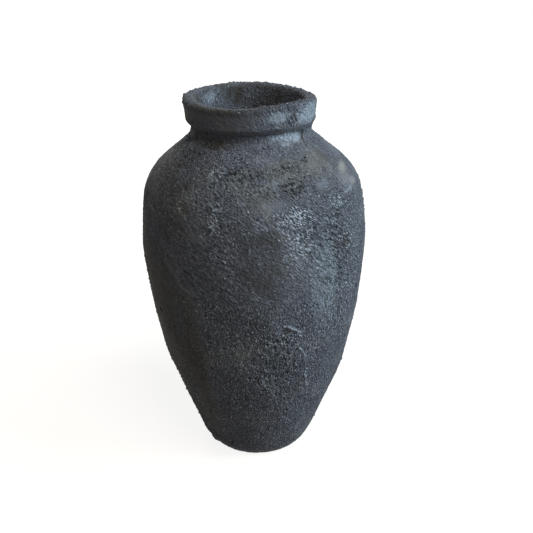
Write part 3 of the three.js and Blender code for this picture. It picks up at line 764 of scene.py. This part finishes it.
def clayMaterial():
    material = newMaterial("unglazedTerracotta")
    tree = material.node_tree
    place = addNode(tree, "ShaderNodeTexCoord").outputs["Object"]
    cloud = addNode(tree, "ShaderNodeTexNoise", {"Vector": place, "Detail": 5.0, "Roughness": 0.6,
                    "Scale": 1000 / clayLook["cloudSize"]})
    firing = addNode(tree, "ShaderNodeMapRange", {"Value": cloud, "From Min": 0.35, "From Max": 0.65})
    lime = addNode(tree, "ShaderNodeTexNoise", {"Vector": place, "Detail": 6.0, "Roughness": 0.7,
                   "Scale": 1000 / clayLook["bloomSize"]})
    bloom = addNode(tree, "ShaderNodeMapRange", {"Value": lime, "From Min": 0.52, "From Max": 0.75,
                    "To Max": 0.6})
    grit = addNode(tree, "ShaderNodeTexVoronoi", {"Vector": place,
                   "Scale": 1000 / clayLook["speckSize"]})
    speck = addNode(tree, "ShaderNodeMapRange", {"Value": grit, "From Min": 0.16, "From Max": 0.08,
                    "To Max": 0.8})
    colour = linearColour(clayLook["dark"])
    for share, name in ((firing, "base"), (bloom, "bloom"), (speck, "speck")):
        mix = addNode(tree, "ShaderNodeMix", {"Factor": share, "A": colour,
                      "B": linearColour(clayLook[name])}, data_type="RGBA")
        colour = mix.outputs["Result"]
    rings = addNode(tree, "ShaderNodeTexWave", {"Vector": place, "Distortion": 1.2, "Detail": 2.0,
                    "Detail Scale": 1.5, "Scale": 1000 / clayLook["ringGap"] * 2 * pi / 20},
                    bands_direction="Z")
    ringBump = addNode(tree, "ShaderNodeBump", {"Height": rings, "Strength": 0.5,
                       "Distance": 0.0003})
    bump = addNode(tree, "ShaderNodeBump", {"Height": lime, "Strength": 0.6, "Distance": 0.0006,
                   "Normal": ringBump})
    shader = addNode(tree, "ShaderNodeBsdfPrincipled", {"Base Color": colour, "IOR": 1.5,
                     "Roughness": clayLook["roughness"], "Normal": bump})
    addNode(tree, "ShaderNodeOutputMaterial", {"Surface": shader})
    return material


blackMineralCoat = coatMaterial()
unglazedTerracotta = clayMaterial()


# Closes a skin with its smoother back into one profile
def skinProfile(skin, back):
    front = np.column_stack((skin, np.ones(len(skin))))
    behind = np.column_stack((back[::-1], np.zeros(len(back))))
    return np.vstack((front, behind))


def dress(piece, node, material):
    handThrow(piece)
    piece.data.materials.append(material)
    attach(piece, "root")
    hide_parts(node)


def addCoat(name, node, skin, back):
    piece = turnProfile(name, skinProfile(skin, back), coatMesh["steps"], coatMesh["strips"])
    markPlaces(piece)
    if node == "body_coat":
        layLumps(piece)
    dress(piece, node, blackMineralCoat)
    piece.modifiers.new("relief", "NODES").node_group = coatRelief
    print(name, len(piece.data.polygons), "faces")


# The coat in closed rings, fine enough for the grit and each small enough to export whole
coatMesh = {
    "steps": 840, "strips": 3, "gap": 0.9,
    "backGap": 12, "collarBackGap": 3, "throatBackGap": 4,
    "seam": 0.03,  # the photograph shows one coat over the collar's end, so the joint nearly closes
}
bodyBands = {
    "body_coat_foot": (sizes["coatFootGap"], 88),
    "body_coat_flank": (88, 176),
    "body_coat_belly": (176, 266),
    "body_coat_shoulder": (266, 345),
    "body_coat_neck": (345, sizes["creaseHeight"]),
}

bodySkin = roundedLine(bodyCorners, coatMesh["gap"])
bodyBack = roundedLine(inset(bodyCorners, sizes["coatThickness"]), coatMesh["backGap"])
for name, (low, high) in bodyBands.items():
    addCoat(name, "body_coat", between(bodySkin, low, high), between(bodyBack, low, high))


# The inside of the vase, from the mouth down, as if it were coated all the way
def throatDepth(height):
    share = height / sizes["creaseHeight"]
    return 2 * clayDepth + sizes["footWall"] + share * (sizes["neckWall"] - sizes["footWall"])


hollow = inset([belowFlank] + bodyCorners[2:], throatDepth)[:-1]
insideCorners = [collarCorners[-1]] + hollow[::-1]
reach = pointAlong(insideCorners[0], insideCorners[1], sizes["collarCoatReach"])
collarOutline = collarCorners + [reach]
collarBack = inset(collarOutline, sizes["coatThickness"])
collarLow = sizes["creaseHeight"] + sizes["coatGap"]
addCoat("collar_coat_ring", "collar_coat",
        clip(roundedLine(collarOutline, coatMesh["gap"]), collarLow, 1),
        clip(roundedLine(collarBack, coatMesh["collarBackGap"]), collarLow, 1))

start = pointAlong(insideCorners[0], insideCorners[1], sizes["collarCoatReach"] + coatMesh["seam"])
throatOutline = [start] + insideCorners[1:]
throatBack = inset(throatOutline, sizes["coatThickness"])
throatLow = sizes["creaseHeight"] - sizes["throatCoatReach"]
addCoat("throat_coat_ring", "throat_coat",
        clip(roundedLine(throatOutline, coatMesh["gap"]), throatLow, 1),
        clip(roundedLine(throatBack, coatMesh["throatBackGap"]), throatLow, 1))
print("coat ready")


# The clay sections, with their grooved joints, as the potter luted them
clay = {
    "steps": 240, "strips": 2, "gap": 2.5,
    "joints": (150, 302, 390.5),
    "slipGap": 0.4, "grooveDepth": 4,
    "floorThickness": 12, "floorRound": 22,
    "recessRadius": 44, "recessDepth": 2, "recessBevel": 4, "footEdgeRound": 2.5,
    "rimGap": 1.0,
    "ringHeight": 0.5, "ringGap": 13,  # throwing rings inside
    "ringSway": 1.7, "swayGap": 31,  # how far their spacing wavers, and over what height
}


def throwingRings(line):
    ringed = line.copy()
    sway = clay["ringSway"] * np.sin(line[:, 1] / clay["swayGap"])
    ringed[:, 0] += clay["ringHeight"] * np.sin(2 * pi * line[:, 1] / clay["ringGap"] + sway)
    return ringed


def midPoint(a, b, drop):
    middle = (a + b) / 2
    middle[1] -= drop
    return middle


def addClay(name, rows, closed=True):
    profile = np.column_stack((rows, np.zeros(len(rows))))
    piece = turnProfile(name + "_thrown", profile, clay["steps"], clay["strips"], closed)
    dress(piece, name, unglazedTerracotta)
    print(piece.name, len(piece.data.polygons), "faces")


clayCorners = inset(bodyCorners, clayDepth)
innerCorners = inset(insideCorners, clayDepth)[::-1]
clayFace = roundedLine(clayCorners, clay["gap"])
innerFace = throwingRings(roundedLine(innerCorners, clay["gap"]))
foot = np.interp(0, clayFace[:, 1], clayFace[:, 0])
floorEdge = np.interp(clay["floorThickness"], innerFace[:, 1], innerFace[:, 0])
underside = [
    (0, clay["recessDepth"], 0),
    (clay["recessRadius"], clay["recessDepth"], 0),
    (clay["recessRadius"] + clay["recessBevel"], 0, 0),
    (foot, 0, clay["footEdgeRound"]),
]
bowl = [(0, clay["floorThickness"], 0), (floorEdge, clay["floorThickness"], clay["floorRound"])]
joint, nextJoint, rimJoint = clay["joints"]
outer = clip(roundedLine(underside + clayCorners[1:], clay["gap"]), joint, -1)
inner = clip(throwingRings(roundedLine(bowl + innerCorners[1:], clay["gap"])), joint, -1)[::-1]
inner[-1][0] = 0
groove = midPoint(outer[-1], inner[0], clay["grooveDepth"])
addClay("foot_section", np.vstack((outer, groove, inner)), closed=False)

for name, low, high in (("belly_section", joint, nextJoint), ("shoulder_section", nextJoint, rimJoint)):
    outer = between(clayFace, low + clay["slipGap"], high)
    inner = between(innerFace, low + clay["slipGap"], high)[::-1]
    groove = midPoint(outer[-1], inner[0], clay["grooveDepth"])
    wedge = midPoint(inner[-1], outer[0], clay["grooveDepth"])
    addClay(name, np.vstack((outer, groove, inner, wedge)))

rimCorners = inset(collarCorners + insideCorners[1:], clayDepth)
ring = clip(roundedLine(rimCorners, clay["rimGap"]), rimJoint + clay["slipGap"], 1)
addClay("rim_collar", np.vstack((ring, midPoint(ring[-1], ring[0], clay["grooveDepth"]))))
print("clay ready")


# Stage: a pale floor that looks white to the camera and still takes the shadow
stage = {
    "floor": "#716a5f", "size": 12.0,
    "drop": 0.0005,  # keeps the floor's face clear of the foot's
    "near": 0.25, "far": 0.9,  # distances between which its glow grows
    "nearLift": 0.87, "farLift": 1.0,
}


# Nought for the rays that only light things, one for those that show what they hit
def seenShare(tree):
    rays = addNode(tree, "ShaderNodeLightPath").outputs
    seen = rays["Is Camera Ray"]
    for kind in ("Is Glossy Ray", "Is Transmission Ray"):
        seen = addNode(tree, "ShaderNodeMath", {0: seen, 1: rays[kind]}, operation="MAXIMUM")
    return seen


def stageMaterial():
    material = newMaterial("paintedStudioFloor")
    tree = material.node_tree
    grey = addNode(tree, "ShaderNodeBsdfDiffuse", {"Color": linearColour(stage["floor"])})
    place = addNode(tree, "ShaderNodeTexCoord").outputs["Object"]
    away = addNode(tree, "ShaderNodeVectorMath", {0: place}, operation="LENGTH")
    bright = addNode(tree, "ShaderNodeMapRange", {"Value": away.outputs["Value"],
                     "From Min": stage["near"], "From Max": stage["far"],
                     "To Min": stage["nearLift"], "To Max": stage["farLift"]})
    lift = addNode(tree, "ShaderNodeEmission", {"Color": (1, 1, 1, 1), "Strength": bright})
    both = addNode(tree, "ShaderNodeAddShader", {0: grey, 1: lift})
    mixed = addNode(tree, "ShaderNodeMixShader", {0: seenShare(tree), 1: grey, 2: both})
    addNode(tree, "ShaderNodeOutputMaterial", {"Surface": mixed})
    return material


bm = bmesh.new()
bmesh.ops.create_grid(bm, x_segments=1, y_segments=1, size=stage["size"] / 2)
floorMesh = bpy.data.meshes.new("studioFloor")
bm.to_mesh(floorMesh)
bm.free()
floorMesh.materials.append(stageMaterial())
floor = addObject("studioFloor", floorMesh)
floor.location.z = -stage["drop"]

# Lamps: a tall cool window on the right, the sky above it, a weak low light beside the camera, and
# a weak one behind, which the photograph's side hardly gets. Each stands so many degrees round from
# the front and above the floor.
lamps = {
    "windowLight": dict(round=78, above=28, size=(0.8, 1.2), power=68, colour=(0.62, 0.83, 1.0)),
    "skyLight": dict(round=30, above=65, size=(0.8, 0.8), power=35, colour=(0.99, 0.98, 0.97)),
    "backLight": dict(round=194, above=16, size=(0.8, 1.0), power=30, colour=(0.95, 0.97, 1.0)),
    "lowLight": dict(round=38, above=6, size=(0.8, 0.8), power=12, colour=(0.92, 0.92, 1.0)),
}
lampDistance = 2.2
lampTarget = Vector((0, 0, 0.22))
for name, lamp in lamps.items():
    data = bpy.data.lights.new(name, "AREA")
    data.shape = "RECTANGLE"
    data.size, data.size_y = lamp["size"]
    data.energy = lamp["power"]
    data.color = lamp["colour"]
    light = addObject(name, data)
    turned = Matrix.Rotation(radians(lamp["round"]), 3, "Z")
    raised = Matrix.Rotation(radians(-lamp["above"]), 3, "X")
    light.location = lampTarget + turned @ raised @ Vector((0, -lampDistance, 0))
    light.rotation_euler = (lampTarget - light.location).to_track_quat("-Z", "Y").to_euler()

# The room's air: white where it is seen, and a faint warm light where it isn't
air = {"seen": 1.0, "unseen": 0.04, "unseenColour": (1.0, 0.94, 0.76, 1)}
world = bpy.data.worlds.new("studioWorld")
world.use_nodes = True
bpy.context.scene.world = world
tree = world.node_tree
tree.nodes.clear()
seen = seenShare(tree)
strength = addNode(tree, "ShaderNodeMapRange", {"Value": seen, "To Min": air["unseen"],
                   "To Max": air["seen"]})
tint = addNode(tree, "ShaderNodeMix", {"Factor": seen, "A": air["unseenColour"],
               "B": (1, 1, 1, 1)}, data_type="RGBA")
glow = addNode(tree, "ShaderNodeBackground", {"Color": tint.outputs["Result"],
               "Strength": strength})
addNode(tree, "ShaderNodeOutputWorld", {"Surface": glow})

# Camera: where the photograph was taken from, in metres, and how many radians its view is turned
view = {"at": (0, -0.6251, 0.5330), "down": 0.46006, "right": 0.02288, "tilt": 0.01693,
        "sensor": 36, "lensShare": 600 / 533}  # the lens is that share of the sensor's width
cameraData = bpy.data.cameras.new("photoCamera")
cameraData.lens = view["sensor"] * view["lensShare"]
cameraData.sensor_width = view["sensor"]
cameraData.sensor_fit = "HORIZONTAL"
camera = addObject("photoCamera", cameraData)
turned = (Matrix.Rotation(-view["right"], 4, "Z") @ Matrix.Rotation(pi / 2 - view["down"], 4, "X")
          @ Matrix.Rotation(-view["tilt"], 4, "Z"))
camera.matrix_world = Matrix.Translation(view["at"]) @ turned
bpy.context.scene.camera = camera
bpy.context.scene.view_settings.view_transform = "Standard"
print("stage, lamps and camera ready")
